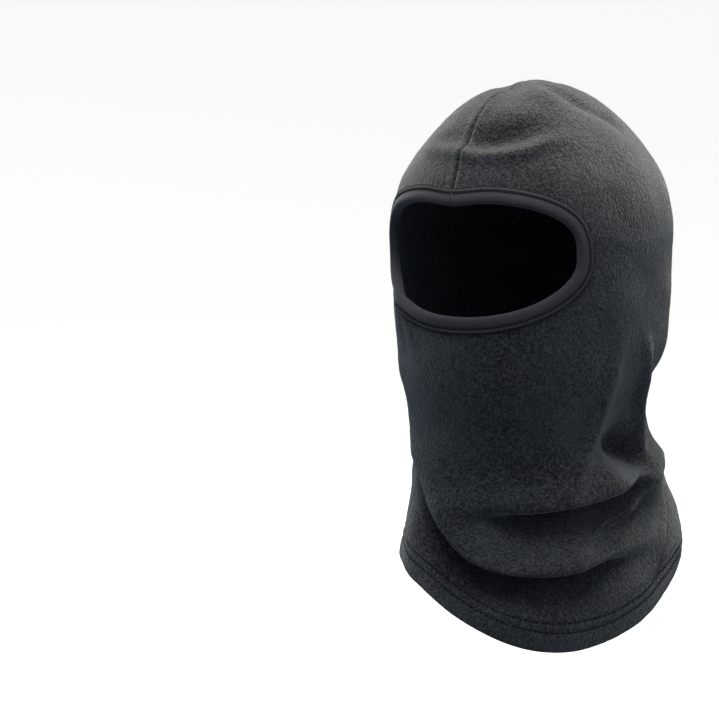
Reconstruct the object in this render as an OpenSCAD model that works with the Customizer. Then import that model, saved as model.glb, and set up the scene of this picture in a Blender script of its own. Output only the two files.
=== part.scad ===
// One-hole fleece balaclava: a one-piece hood cut on the fold at the front, joined by one seam that
// runs from the face opening over the crown and down the back, with a bound face opening and a
// twin-needle hem. The wearer faces -Y, +X is the wearer's left and +Z is up. The origin is where
// the top of the head meets the inside of the crown.

/* [Hood] */
// Half of the hood's outside width, ear to ear
half_width = 87; // [80:1:94]
// Half of the hood's outside depth, forehead to back
half_depth = 104; // [96:1:112]
// Height of the domed crown above the hood's widest level
crown_height = 100; // [90:1:110]
// How much the crown draws in towards its top
crown_point = 0.15; // [0:0.01:0.3]
// How much fuller the crown is over the forehead than elsewhere
crown_full_front = 0.27; // [0:0.01:0.3]

/* [Length] */
// Mean depth of the hem below the crown
hem_mean = 325.5; // [310:0.5:335]
// How far the hem slants: it hangs lower by this on one side and higher on the other
hem_tilt = 17.1; // [0:0.1:24]
// Where the slant is lowest, in degrees from the front towards the wearer's left
hem_tilt_turn = 51; // [0:1:90]
// How far the hem waves: it dips twice and rises twice round the neck by this
hem_sag = 13.3; // [0:0.1:18]
// Where the first dip of the wave is, in degrees from the front towards the wearer's left
hem_sag_turn = 50; // [0:1:90]

/* [Face opening] */
// Half of the opening's span round the head, in degrees from the front
face_half_angle = 53.5; // [45:0.5:58]
// Depth of the opening's upper edge below the crown
face_top = 71; // [62:1:78]
// Depth of the opening's lower edge below the crown
face_bottom = 150; // [140:1:158]
// How far the upper edge dips at the seam
face_dip = 3; // [0:0.5:5]
// How much lower the lower edge hangs on the wearer's right
face_sag = 4; // [0:0.5:6]

/* [Fabric] */
// Thickness of the double-sided fleece
fabric_t = 2.8; // [2:0.1:3.2]
// Width of the turned-up hem
hem_fold = 22; // [16:1:28]
// Distance of the lower row of hem stitches from the hem's edge
hem_row_low = 13; // [8:1:15]
// Distance of the upper row of hem stitches from the hem's edge
hem_row_high = 19; // [16:1:20]

/* [Binding] */
// How far the rolled edge stands past the raw edge of the fleece
roll_out = 2.2; // [1.5:0.1:3]
// Distance of the stitched groove from the raw edge
groove_at = 4.8; // [4:0.1:6]
// Distance of the binding's own folded edge from the raw edge
binding_edge = 7.4; // [6.5:0.1:9]
// Thickness of the jersey the binding is folded from
jersey_t = 1; // [0.7:0.1:1.2]

/* [Thread] */
// Radius of a sewing thread
thread_r = 0.35; // [0.25:0.05:0.5]
// Width of the overlocked seam edge inside
overlock_w = 5; // [4:0.5:7]

/* [Slouch] */
// Downward slump of the chin bag over the hem tier
bag_drop = 12; // [0:1:15]
// Outward swell of the chin bag
bag_swell = 20; // [0:1:22]
// How far the chin bag's lower edge is drawn in
bag_sink = 8; // [0:1:10]
// Downward slump of the smaller fold above it
fold_drop = 7; // [0:1:9]
// Outward swell of the smaller fold above it
fold_swell = 14; // [0:1:16]
// How far the smaller fold's lower edge is drawn in
fold_sink = 9; // [0:1:12]

/* [Hidden] */

columns = 56;               // grid lines from the face opening to the hem; line 0 is the seam
probe = 48;                 // points along a grid line before it is measured off
body_rows = 22;             // rows of the grid between the binding and the hem
even_from = 12;             // the even rows start this far from the opening
even_to = 8;                // and stop this far above the turned-up hem
clear = 0.08;               // gap between a thread and the fabric it lies on
chain_binding_w = 1.6;      // width of the chain on the inside of the binding
chain_hem_w = 3;            // width of the chain on the inside of the hem
overlock_t = 1.2;           // thickness of the overlocked seam edge
pressed = 0.6;              // how thin the jersey is pressed in the stitched groove
puffed = 1.2;               // how full it stands at the roll
end_mix = 0.08;             // the binding's ends stop this share of a column short of the seam
bag_wide = 14;              // reach of the chin bag's fold above and below its line
fold_wide = 9;              // reach of the smaller fold above and below its line
fleece = "#3b3e43";
jersey = "#4c4b51";
thread = "#202226";

// Front and back girth of the tube below the crown, as a share of the hood's, by height
front_girth = [[-372, 0.955], [-345, 0.96], [-320, 0.945], [-300, 0.91], [-270, 0.85], [-250, 0.815],
               [-225, 0.85], [-205, 0.905], [-185, 0.95], [-150, 0.98], [-100, 1]];
back_girth = [[-372, 0.97], [-345, 1.01], [-320, 1.06], [-300, 1.07], [-270, 0.98], [-255, 0.95],
              [-240, 0.88], [-225, 0.80], [-205, 0.79], [-185, 0.88], [-150, 0.96], [-100, 1]];
// Height of the chin bag's lower edge, and how strong the bag is, by direction round the head
bag_line = [[-105, -226], [-75, -230], [-52, -235], [-30, -247], [-12, -270], [-3, -284], [6, -295],
            [22, -302], [46, -304], [78, -303]];
bag_share = [[-105, 0], [-75, 0.15], [-52, 0.4], [-30, 0.85], [-12, 1], [46, 1], [58, 0.8], [68, 0.35],
             [78, 0]];
// The same for the smaller fold
fold_line = [[2, -266], [18, -269], [34, -268], [50, -264], [64, -261], [76, -258], [94, -252]];
fold_share = [[2, 0], [18, 0.4], [34, 0.8], [50, 1], [64, 1], [76, 0.9], [84, 0.5], [94, 0]];

// ---- a cubic through a list of [x, y] points ----
function knot(x, list, i = 0) = i >= len(list) - 2 || x < list[i + 1][0] ? i : knot(x, list, i + 1);
function slope(list, i) =
    let (a = list[max(i - 1, 0)], b = list[min(i + 1, len(list) - 1)]) (b[1] - a[1]) / (b[0] - a[0]);
function through(list, x_in) =
    let (x = max(list[0][0], min(list[len(list) - 1][0], x_in)), i = knot(x, list),
         h = list[i + 1][0] - list[i][0], s = (x - list[i][0]) / h)
    list[i][1] * (1 + 2 * s) * (1 - s) * (1 - s) + list[i + 1][1] * s * s * (3 - 2 * s)
    + h * (slope(list, i) * s * (1 - s) * (1 - s) - slope(list, i + 1) * s * s * (1 - s));

// ---- the grid: a conformal map of a ring between the face opening and the neck ----
function cmul(a, b) = [a[0] * b[0] - a[1] * b[1], a[0] * b[1] + a[1] * b[0]];
function conj(a) = [a[0], -a[1]];
function unit(v) = v / norm(v);
deg = 180 / PI;
function mercator(elevation) = ln(tan(45 + elevation / 2));
neck_angle = 6;             // size of the neck hole, seen from the head's centre before it is drawn out
neck_reach = mercator(90 - neck_angle);
tube_depth = 358;           // depth below the crown at which the map's tube ends
corner_up = -3;             // elevation of the opening's outermost points
tube_scale = (tube_depth - crown_height) / neck_reach;

// Place of a direction in the plane of the map, from its turn and its elevation
function plane_x(turn, up) = cos(up) * sin(turn) / (1 + cos(up) * cos(turn));
function plane_y(turn, up) = sin(up) / (1 + cos(up) * cos(turn));
top_up = asin(1 - face_top / crown_height);
bottom_up = 90 - 2 * atan(exp((face_bottom - crown_height) / tube_scale));
plane_top = plane_y(0, top_up);
plane_bottom = plane_y(0, bottom_up);
plane_half = plane_x(face_half_angle, corner_up);
plane_mid = (plane_top + plane_bottom) / 2;
plane_tall = (plane_top - plane_bottom) / 2;
// The oval opening as a circle of radius ring and a flattening k
ring = (plane_half + plane_tall) / 2;
k = ring * (plane_half - plane_tall) / 2;
function pull_back(want, guess, n) = n == 0 ? guess : pull_back(want, want + k / guess, n - 1);
neck_want = 1 + pow(neck_angle / deg, 2) / 2 + plane_mid;
neck_at = pull_back(neck_want, neck_want, 20);
neck_r = neck_angle / deg / (1 + k / neck_at / neck_at);
pole_sum = (ring * ring + neck_at * neck_at - neck_r * neck_r) / neck_at;
pole_gap = sqrt(pole_sum * pole_sum - 4 * ring * ring);
pole_far = (pole_sum + pole_gap) / 2;
pole_near = (pole_sum - pole_gap) / 2;
radius_face = (ring + pole_near) / (ring + pole_far);
radius_neck = (neck_at - neck_r - pole_near) / (pole_far - neck_at + neck_r);

// Squareness of the opening's upper and lower halves
square_top = 3.1;
square_bottom = 2.3;
dip_width = 0.2;
// Where along the opening's half width the lower edge sags, and over what share of it
sag_at = -0.45;
sag_width = 0.5;
blend_end = 0.45;           // the opening's own outline has faded out this far along a grid line

// Direction from the head's centre to the grid point on line i, a share t of the way to the hem
function direction(i, t) =
    let (psi = 360 * i / columns, r = radius_face * pow(radius_neck / radius_face, t),
         w = [r * cos(psi), r * sin(psi)], w0 = radius_face * [cos(psi), sin(psi)],
         p0 = [pole_far * w0[1], pole_near - pole_far * w0[0]], q0 = [w0[0] - 1, w0[1]],
         e0 = cmul(p0, conj(q0)) / (q0 * q0) / ring,
         n = e0[1] > 0 ? square_top : square_bottom,
         grow = pow(pow(abs(e0[0]), n) + pow(abs(e0[1]), n), -1 / n) - 1,
         dip_mm = e0[1] > 0 ? face_dip * exp(-pow(e0[0] / dip_width, 2))
                            : -face_sag * e0[1] * exp(-pow((e0[0] - sag_at) / sag_width, 2)),
         dip = dip_mm / tube_scale / 2,
         fade = pow(max(1 - t / blend_end, 0), 2),
         shift = [(ring + k / ring) * e0[0] * grow, (ring - k / ring) * e0[1] * grow - dip] * fade,
         p = [pole_far * w[1], pole_near - pole_far * w[0]], q = [w[0] - 1, w[1]],
         pq = cmul(p, q), centre = [shift[0], plane_mid + shift[1]],
         a = cmul(p, p) + k * cmul(q, q) + cmul(centre, pq),
         across = cmul(a, conj(pq)), den = a * a + pq * pq)
    [2 * across[0], -(pq * pq - a * a), 2 * across[1]] / den;

// ---- the hood's outer surface ----
function hem_depth(turn) =
    hem_mean + hem_tilt * cos(turn - hem_tilt_turn) + hem_sag * cos(2 * (turn - hem_sag_turn));
// A fold's [downward, outward] shift at a height: its upper side swells out and slumps, its lower
// side is drawn in and up
function slump(z, turn, line, share, wide, drop, swell, sink) =
    let (q = (through(line, turn) - z) / wide, hump = through(share, turn) * exp(-q * q / 2))
    [drop * q, -swell * q - sink] * hump;
function skin(i, t) =
    let (d = direction(i, t), last = direction(i, 1), turn = atan2(d[0], -d[1]), up = asin(d[2]),
         fall = mercator(max(-up, 0)) / mercator(-asin(last[2])),
         z0 = up > 0 ? crown_height * (d[2] - 1) : -crown_height - (hem_depth(turn) - crown_height) * fall,
         face = (1 + cos(turn)) / 2,
         pointed = crown_point - crown_full_front * pow(max(cos(turn), 0), 2),
         girth = up > 0 ? cos(up) * (1 - pointed * pow(d[2], 3))
                        : through(front_girth, z0) * face + through(back_girth, z0) * (1 - face),
         bag = slump(z0, turn, bag_line, bag_share, bag_wide, bag_drop, bag_swell, bag_sink),
         fold = slump(z0, turn, fold_line, fold_share, fold_wide, fold_drop, fold_swell, fold_sink),
         r = girth + (bag[1] + fold[1]) / half_depth,
         z = z0 + bag[0] + fold[0] + fabric_t)
    [half_width * r * sin(turn), -half_depth * r * cos(turn), z];

// ---- points measured off along a grid line ----
function running(p, i = 1, sum = 0, out = [0]) =
    i >= len(p) ? out : let (s = sum + norm(p[i] - p[i - 1])) running(p, i + 1, s, concat(out, [s]));
function spot(p, sums, want, i = 0) =
    i >= len(p) - 2 || want < sums[i + 1]
    ? p[i] + (p[i + 1] - p[i]) * (want - sums[i]) / (sums[i + 1] - sums[i])
    : spot(p, sums, want, i + 1);
// Row distances: the binding's rows from the opening, the hem's rows from the hem, even rows between
function row_places(len_mm) =
    let (a = even_from, b = hem_fold + even_to)
    concat([0, groove_at, binding_edge], [for (j = [0:body_rows]) a + (len_mm - b - a) * j / body_rows],
           [for (h = [hem_fold, hem_row_high, hem_row_low, 0]) len_mm - h]);
function column(i) =
    let (p = [for (j = [0:probe]) skin(i, j / probe)], sums = running(p))
    [for (want = row_places(sums[probe])) spot(p, sums, want)];
lines = [for (i = [0:columns - 1]) column(i)];
rows = len(lines[0]);
row_groove = 1;
row_binding = 2;
row_turn_up = rows - 4;
row_hem_high = rows - 3;
row_hem_low = rows - 2;

function at(i, j) = lines[(i + columns) % columns][max(0, min(rows - 1, j))];
function along(i, j) = at(i, j + 1) - at(i, j - 1);
function outward(i, j) = unit(cross(along(i, j), at(i + 1, j) - at(i - 1, j)));
function layer(i, j) = j >= row_turn_up ? 2 * fabric_t : fabric_t;
function raised(i, j, h) = at(i, j) + outward(i, j) * h;

// ---- mesh helpers ----
// A tube through rings of points; each ring has the same number of points
module tube(rings, closed) {
    n = len(rings);
    m = len(rings[0]);
    last = closed ? n - 1 : n - 2;
    sides = [for (a = [0:last], b = [0:m - 1]) let (c = (a + 1) % n, d = (b + 1) % m)
             each [[a * m + b, a * m + d, c * m + b], [a * m + d, c * m + d, c * m + b]]];
    caps = closed ? [] : [[for (b = [m - 1:-1:0]) b], [for (b = [0:m - 1]) (n - 1) * m + b]];
    polyhedron(points = [for (r = rings) each r], faces = concat(sides, caps), convexity = 10);
}
// A flat band's section at a grid point: across by thick, lifted off the surface
function band(i, j, dir, across, lift, thick) =
    let (c = at(i, j), n = outward(i, j), s = unit(dir) * across / 2)
    [c - s + n * lift, c + s + n * lift, c + s + n * (lift + thick), c - s + n * (lift + thick)];

// ---- the sub-parts ----
// The one-piece fleece hood, double where the hem is turned up
module hood_panel() {
    color(fleece) tube(
        [for (i = [columns - 1:-1:0])
         concat([for (j = [0:rows - 1]) at(i, j)], [for (j = [rows - 1:-1:0]) raised(i, j, -layer(i, j))])],
        true);
}

// The jersey strip folded round the opening's raw edge; its two ends meet at the crown seam
function binding_ring(i, mix) =
    let (h = clear, e = fabric_t + clear, t = jersey_t, out = -unit(along(i, 0)) * roll_out,
         next = i + sign(mix), m = abs(mix),
         ends = function (j, lift) raised(i, j, lift) * (1 - m) + raised(next, j, lift) * m)
    [ends(row_binding, h), ends(row_binding, h + t), ends(row_groove, h + t * pressed),
     ends(0, h + t * puffed), ends(0, -fabric_t * 0.1) + out, ends(0, -fabric_t * 0.9) + out,
     ends(0, -e - t * puffed), ends(row_groove, -e - t * pressed), ends(row_binding, -e - t),
     ends(row_binding, -e), ends(0, -e) + out * 0.2, ends(0, h) + out * 0.2];
module face_binding() {
    rings = [for (i = [1:columns - 1]) binding_ring(i, 0)];
    color(jersey) tube(concat([binding_ring(0, end_mix)], rings, [binding_ring(columns, -end_mix)]), false);
}

// A row of stitches along a grid row, lying on a surface lifted off the hood's outer face
module stitch_row(j, lift, ends) {
    first = ends ? 1 : 0;
    wide = 2 * thread_r;
    color(thread) tube([for (i = [first:columns - 1]) band(i, j, along(i, j), wide, lift, wide)], !ends);
}
module binding_needle_thread_inner() stitch_row(row_groove, clear * 2 + jersey_t * pressed, true);
module binding_needle_thread_outer() stitch_row(row_binding, clear * 2 + jersey_t, true);
module hem_needle_thread_lower() stitch_row(row_hem_low, clear, false);
module hem_needle_thread_upper() stitch_row(row_hem_high, clear, false);

// The looper thread that covers the back of two needle rows, a flat chain on the inside
module looper_row(j, lift, across, ends) {
    first = ends ? 1 : 0;
    deep = -2 * thread_r;
    color(thread) tube([for (i = [first:columns - 1]) band(i, j, along(i, j), across, lift, deep)], !ends);
}
module binding_looper_thread()
    looper_row(row_groove, -fabric_t - clear * 2 - jersey_t * puffed, chain_binding_w, true);
module hem_looper_thread() looper_row(row_hem_high, -2 * fabric_t - clear, chain_hem_w, false);

// The crown and back seam, from behind the binding to just short of the hem's turned-up layer
seam_first = row_binding + 1;
seam_last = row_turn_up - 1;
function seam_ring(j, across, lift, thick) =
    let (s = [across / 2, 0, 0], c = at(0, j), n = outward(0, j))
    [c - s + n * lift, c + s + n * lift, c + s + n * (lift - thick), c - s + n * (lift - thick)];
module seam_needle_thread() {
    color(thread) tube([for (j = [seam_first:seam_last])
                        seam_ring(j, 2 * thread_r, clear + 2 * thread_r, 2 * thread_r)], false);
}
module seam_overlock_thread() {
    color(thread) tube([for (j = [seam_first:seam_last])
                        seam_ring(j, overlock_w, -fabric_t - clear, overlock_t)], false);
}

hood_panel();
face_binding();
seam_needle_thread();
seam_overlock_thread();
binding_needle_thread_inner();
binding_needle_thread_outer();
binding_looper_thread();
hem_needle_thread_lower();
hem_needle_thread_upper();
hem_looper_thread();
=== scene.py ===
"""One-hole fleece balaclava, worn shape: the fleece hood, its bound face opening, its seam and its
stitching. Lengths in the shape code are millimetres; meshes are written in metres."""
import math

import bpy
import numpy as np
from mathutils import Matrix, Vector


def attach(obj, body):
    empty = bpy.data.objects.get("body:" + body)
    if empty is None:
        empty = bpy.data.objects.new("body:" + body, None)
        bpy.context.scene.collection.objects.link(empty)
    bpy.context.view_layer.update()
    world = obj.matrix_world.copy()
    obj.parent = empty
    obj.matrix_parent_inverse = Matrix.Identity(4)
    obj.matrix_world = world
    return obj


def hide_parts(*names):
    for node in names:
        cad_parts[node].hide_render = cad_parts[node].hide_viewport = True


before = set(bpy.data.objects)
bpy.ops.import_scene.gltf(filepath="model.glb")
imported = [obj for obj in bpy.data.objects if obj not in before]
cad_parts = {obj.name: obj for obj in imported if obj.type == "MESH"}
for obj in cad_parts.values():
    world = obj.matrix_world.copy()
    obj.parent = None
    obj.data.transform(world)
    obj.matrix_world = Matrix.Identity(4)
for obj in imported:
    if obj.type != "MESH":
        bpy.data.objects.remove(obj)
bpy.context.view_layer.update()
MM = 0.001

# ---- the hood's driving sizes, as in the CAD model (mm) ----
HALF_WIDTH, HALF_DEPTH, CROWN = 87.0, 104.0, 100.0
CROWN_POINT, CROWN_FULL_FRONT = 0.15, 0.27
HEM_MEAN, HEM_TILT, HEM_TILT_TURN, HEM_SAG, HEM_SAG_TURN = 325.5, 17.1, 51.0, 13.3, 50.0
FACE_HALF_ANGLE, FACE_TOP, FACE_BOTTOM, FACE_DIP = 53.5, 71.0, 150.0, 3.0
FABRIC = 2.8
HEM_FOLD, HEM_ROW_LOW, HEM_ROW_HIGH = 22.0, 13.0, 19.0
ALLOWANCE, ALLOWANCE_THICK = 5.0, 2.6   # the overlocked seam allowance lies to the wearer's right

COLUMNS = 576                # grid lines from the face opening to the hem; line 0 is the seam
ROWS = 230                   # even rows between the fine rows at the opening and the hem
SEAM_CROWDING = 0.8          # how much closer together the grid lines are at the seam
PROBE = 360                  # points along a grid line before it is measured off
EDGE_BAND, EDGE_ROWS = 12.0, 12          # the fine rows beside the opening: how far in, how many
HEM_BAND, HEM_ROWS = HEM_FOLD + 8, 30    # the same up from the hem

# How wide the neck is at each height, as a share of the head: its front and its back
FRONT_GIRTH = [(-372, 0.955), (-345, 0.96), (-320, 0.945), (-300, 0.91), (-270, 0.85), (-250, 0.815),
               (-225, 0.85), (-205, 0.905), (-185, 0.95), (-150, 0.98), (-100, 1)]
BACK_GIRTH = [(-372, 0.97), (-345, 1.01), (-320, 1.06), (-300, 1.07), (-270, 0.98), (-255, 0.95),
              (-240, 0.88), (-225, 0.80), (-205, 0.79), (-185, 0.88), (-150, 0.96), (-100, 1)]
# Folds of the worn fleece, each along a line of (turn in degrees, height in mm, strength) points. The
# side on the line's left swells out and laps over the side on its right, seen from outside.
FOLDS = [
    dict(name="chin_bag", swell=24.0, lap=27.0, sink=10.0, wide=10.0,
         line=[(-105, -224, 0), (-75, -227, 0.15), (-52, -232, 0.4), (-30, -243, 0.85),
               (-12, -265.5, 1), (-3, -280, 1), (6, -291, 1), (22, -298, 1), (46, -300, 1),
               (58, -300, 0.8), (68, -300, 0.35), (78, -299, 0)]),
    dict(name="under_chin", swell=24.0, lap=17.0, sink=13.0, wide=6.5,
         line=[(2, -264, 0), (18, -267, 0.4), (34, -265.5, 0.8), (50, -261.5, 1), (64, -258.5, 1),
               (76, -255.5, 0.9), (84, -254, 0.5), (94, -251, 0)]),
    dict(name="right_roll", swell=12.0, lap=10.0, sink=2.0, wide=6.0,
         line=[(54, -281, 0), (62, -279, 0.7), (70, -278, 1), (79, -275, 1), (86, -271, 1),
               (92, -265, 1), (98, -259, 0.9), (106, -253, 0.5), (113, -248, 0)]),
    dict(name="right_lobe", swell=5.0, lap=5.0, sink=1.0, wide=4.5,
         line=[(88, -324, 0), (95, -312, 0.7), (99, -300, 1), (103, -290, 1), (108, -281, 1),
               (113, -272, 0.7), (118, -264, 0)]),
    dict(name="back_slump", swell=9.0, lap=10.0, sink=2.0, wide=13.0,
         line=[(135, -250, 0), (155, -246, 0.7), (180, -241, 1), (205, -243, 1), (228, -250, 0.6),
               (250, -254, 0)]),
    dict(name="back_slump_low", swell=7.0, lap=8.0, sink=1.0, wide=12.0,
         line=[(118, -292, 0), (140, -286, 0.8), (165, -280, 1), (190, -283, 0.7), (212, -292, 0)]),
]
# Ridges (or valleys, where the height is negative) with rounded sections: points as above
RIDGES = [
    dict(name="neck_roll", height=7.0, wide=6.0,
         line=[(140, -248, 0), (128, -246, 0.5), (114, -246, 0.8), (102, -248, 1), (92, -250, 1),
               (80, -247, 1), (68, -245, 0.6), (58, -243, 0)]),
    dict(name="under_chin_recess", height=-11.0, wide=6.0,
         line=[(10, -279, 0), (28, -279, 0.7), (44, -276, 1), (60, -272, 1), (72, -269, 0.8),
               (84, -264, 0)]),
    dict(name="bag_recess", height=-11.0, wide=8.0,
         line=[(-20, -271, 0), (-8, -294, 0.7), (2, -307, 1), (12, -314, 1), (26, -318, 1),
               (46, -319, 1), (58, -317, 0.7), (70, -314, 0)]),
    dict(name="side_lobe", height=4.5, wide=13.0,
         line=[(112, -322, 0), (118, -306, 0.8), (126, -294, 1), (140, -288, 0)]),
    dict(name="jaw_ridge", height=5.5, wide=5.0,
         line=[(76, -150, 0), (72, -178, 0.45), (67, -206, 0.8), (61, -226, 1), (56, -238, 1),
               (51, -248, 0.7), (48, -260, 0)]),
    dict(name="jaw_hollow", height=-6.0, wide=11.0,
         line=[(86, -165, 0), (84, -190, 0.5), (82, -215, 0.8), (82, -234, 1), (84, -248, 0.6),
               (84, -262, 0)]),
    dict(name="neck_pocket", height=-12.0, wide=6.5,
         line=[(70, -222, 0), (78, -229, 0.8), (86, -234, 1), (92, -238, 1), (97, -243, 0.5),
               (102, -247, 0)]),
    dict(name="nape_crest", height=5.0, wide=4.0,
         line=[(88, -158, 0), (93, -176, 0.7), (96, -200, 1), (98, -222, 1), (98, -238, 0.9),
               (96, -249, 0)]),
    dict(name="nape_lobe", height=1.5, wide=11.0,
         line=[(110, -140, 0), (112, -160, 0.7), (118, -174, 1), (130, -182, 0.5), (150, -186, 0)]),
    dict(name="nape_hollow", height=-6.0, wide=9.0,
         line=[(104, -188, 0), (118, -198, 0.8), (140, -206, 1), (165, -208, 1), (200, -207, 1),
               (230, -208, 0.6), (260, -212, 0)]),
    dict(name="crown_flat_left", height=-5.0, wide=24.0,
         line=[(-80, -4, 0), (-70, -18, 1), (-62, -34, 0.8), (-58, -60, 0)]),
    dict(name="crown_ledge", height=2.6, wide=3.6,
         line=[(-36, -39, 0), (-22, -42, 0.8), (-4, -44, 0.9), (8, -46, 1), (19, -45, 1),
               (30, -43, 1), (42, -38, 0.7), (54, -34, 0)]),
    dict(name="crown_dent", height=-6.0, wide=6.5,
         line=[(-2, -35, 0), (8, -36, 0.8), (20, -34, 1), (31, -31, 0.7), (46, -25, 0)]),
    dict(name="crown_dent_right", height=-2.6, wide=5.0,
         line=[(-30, -34, 0), (-16, -36, 1), (-3, -37, 0)]),
    dict(name="crown_valley", height=-3.2, wide=4.2,
         line=[(50, -2, 0), (62, -6, 1), (72, -14, 1), (82, -20, 0.8), (92, -26, 0.8),
               (98, -36, 0)]),
    dict(name="crown_lobe", height=2.2, wide=7.0,
         line=[(20, -9, 0), (40, -9, 1), (50, -14, 0.8), (58, -22, 0)]),
    dict(name="crown_top_notch", height=-2.0, wide=4.0,
         line=[(-60, -1.5, 0), (0, -4, 1), (14, -12, 0.5), (18, -20, 0)]),
    dict(name="cheek_crease_upper", height=1.8, wide=3.0,
         line=[(-40, -128, 0), (-33, -142, 1), (-27, -156, 0.9), (-21, -172, 0)]),
    dict(name="cheek_crease_lower", height=-2.0, wide=3.2,
         line=[(-50, -124, 0), (-42, -140, 1), (-36, -156, 0.8), (-31, -174, 0)]),
    dict(name="left_fold", height=1.6, wide=9.0,
         line=[(-58, -160, 0), (-50, -185, 0.8), (-40, -212, 1), (-32, -236, 0.7), (-22, -262, 0)]),
    dict(name="left_hollow", height=-3.0, wide=9.0,
         line=[(-84, -150, 0), (-78, -185, 0.8), (-68, -212, 1), (-58, -232, 0)]),
    dict(name="bag_inner_fold", height=-2.6, wide=4.5,
         line=[(-34, -252, 0), (-26, -262, 0.8), (-16, -277, 1), (-4, -292, 0.7), (4, -300, 0)]),
    dict(name="tier_left", height=3.5, wide=9.0,
         line=[(-38, -262, 0), (-34, -284, 1), (-30, -304, 0.8), (-26, -322, 0)]),
    dict(name="tier_right_fold", height=2.6, wide=8.0,
         line=[(84, -300, 0), (76, -312, 1), (66, -324, 0.8), (52, -336, 0)]),
    dict(name="back_vertical_left", height=3.5, wide=10.0,
         line=[(208, -120, 0), (204, -150, 0.8), (200, -178, 1), (197, -198, 0)]),
    dict(name="back_vertical_right", height=3.0, wide=9.0,
         line=[(158, -130, 0), (160, -158, 0.8), (162, -182, 1), (163, -200, 0)]),
    dict(name="right_neck_fold", height=5.0, wide=8.0,
         line=[(238, -236, 0), (258, -244, 0.9), (280, -250, 1), (300, -252, 0.6), (316, -250, 0)]),
    dict(name="right_side_fold", height=3.6, wide=9.0,
         line=[(262, -150, 0), (266, -178, 0.8), (272, -204, 1), (280, -228, 0)]),
    dict(name="right_tier_fold", height=4.0, wide=9.0,
         line=[(246, -276, 0), (258, -288, 1), (268, -302, 0.8), (276, -318, 0)]),
    dict(name="back_tier_fold", height=3.2, wide=9.0,
         line=[(196, -262, 0), (204, -280, 1), (210, -300, 0.7), (214, -316, 0)]),
]


def through(table, x):
    """A cubic through a table of (x, y) points."""
    xs, ys = (np.array(c, float) for c in zip(*table))
    slope = np.empty_like(ys)
    slope[1:-1] = (ys[2:] - ys[:-2]) / (xs[2:] - xs[:-2])
    slope[0], slope[-1] = (ys[1] - ys[0]) / (xs[1] - xs[0]), (ys[-1] - ys[-2]) / (xs[-1] - xs[-2])
    x = np.clip(x, xs[0], xs[-1])
    i = np.clip(np.searchsorted(xs, x, side="right") - 1, 0, len(xs) - 2)
    h = xs[i + 1] - xs[i]
    s = (x - xs[i]) / h
    return (ys[i] * (1 + 2 * s) * (1 - s) ** 2 + ys[i + 1] * s * s * (3 - 2 * s)
            + h * (slope[i] * s * (1 - s) ** 2 - slope[i + 1] * s * s * (1 - s)))


# ---- the grid: a conformal map of a ring between the face opening and the neck ----
def mercator(up):
    """Height of a direction on a map that keeps angles."""
    return np.log(np.tan(np.pi / 4 + up / 2))


NECK_ANGLE = math.radians(6)
FACE_WIDEST_UP = math.radians(-3)   # the opening is widest a little below the head's centre
TUBE_DEPTH = 358.0          # depth at which the map's tube ends
TUBE_SCALE = (TUBE_DEPTH - CROWN) / mercator(np.pi / 2 - NECK_ANGLE)
SQUARE_TOP, SQUARE_BOTTOM = 3.1, 2.15   # powers of the opening's outline; 2 would be an oval
DIP_WIDTH = 0.2             # of the dip at the seam, as a share of the opening's half width
BLEND_END = 0.45            # the way to the hem at which the opening's outline no longer shows
SAG_AT, SAG_WIDTH, FACE_SAG = -0.45, 0.5, 4.0   # the lower edge hangs lower on the wearer's right
SETTLE_STEPS = 20


def plane(turn, up):
    """Where a direction from the head's centre lies in the map's plane."""
    return (np.cos(up) * np.sin(turn) + 1j * np.sin(up)) / (1 + np.cos(up) * np.cos(turn))


def map_constants():
    """The opening's oval and the circles that the ring of the grid is stretched between."""
    top = plane(0, math.asin(1 - FACE_TOP / CROWN)).imag
    fall = math.exp((FACE_BOTTOM - CROWN) / TUBE_SCALE)
    bottom = plane(0, math.pi / 2 - 2 * math.atan(fall)).imag
    half = plane(math.radians(FACE_HALF_ANGLE), FACE_WIDEST_UP).real
    mid, tall = (top + bottom) / 2, (top - bottom) / 2
    ring = (half + tall) / 2
    k = ring * (half - tall) / 2
    want = 1 + NECK_ANGLE ** 2 / 2 + mid
    neck = want
    for _ in range(SETTLE_STEPS):       # settles where neck - k / neck is what is wanted
        neck = want + k / neck
    neck_r = NECK_ANGLE / (1 + k / neck ** 2)
    total = (ring ** 2 + neck ** 2 - neck_r ** 2) / neck
    gap = math.sqrt(total ** 2 - 4 * ring ** 2)
    far, near = (total + gap) / 2, (total - gap) / 2
    return dict(mid=mid, ring=ring, k=k, far=far, near=near, r0=(ring + near) / (ring + far),
                r1=(neck - neck_r - near) / (far - neck + neck_r))


def edge_shift(c, edge):
    """How far the opening's edge moves in the plane to be squarer, dipped on top and hung low."""
    n = np.where(edge.imag > 0, SQUARE_TOP, SQUARE_BOTTOM)
    grow = (np.abs(edge.real) ** n + np.abs(edge.imag) ** n) ** (-1 / n) - 1
    dip = FACE_DIP * np.exp(-(edge.real / DIP_WIDTH) ** 2)
    sag = -FACE_SAG * edge.imag * np.exp(-((edge.real - SAG_AT) / SAG_WIDTH) ** 2)
    down = np.where(edge.imag > 0, dip, sag) / TUBE_SCALE / 2
    wide, tall = c["ring"] + c["k"] / c["ring"], c["ring"] - c["k"] / c["ring"]
    return wide * edge.real * grow + 1j * (tall * edge.imag * grow - down)


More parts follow.
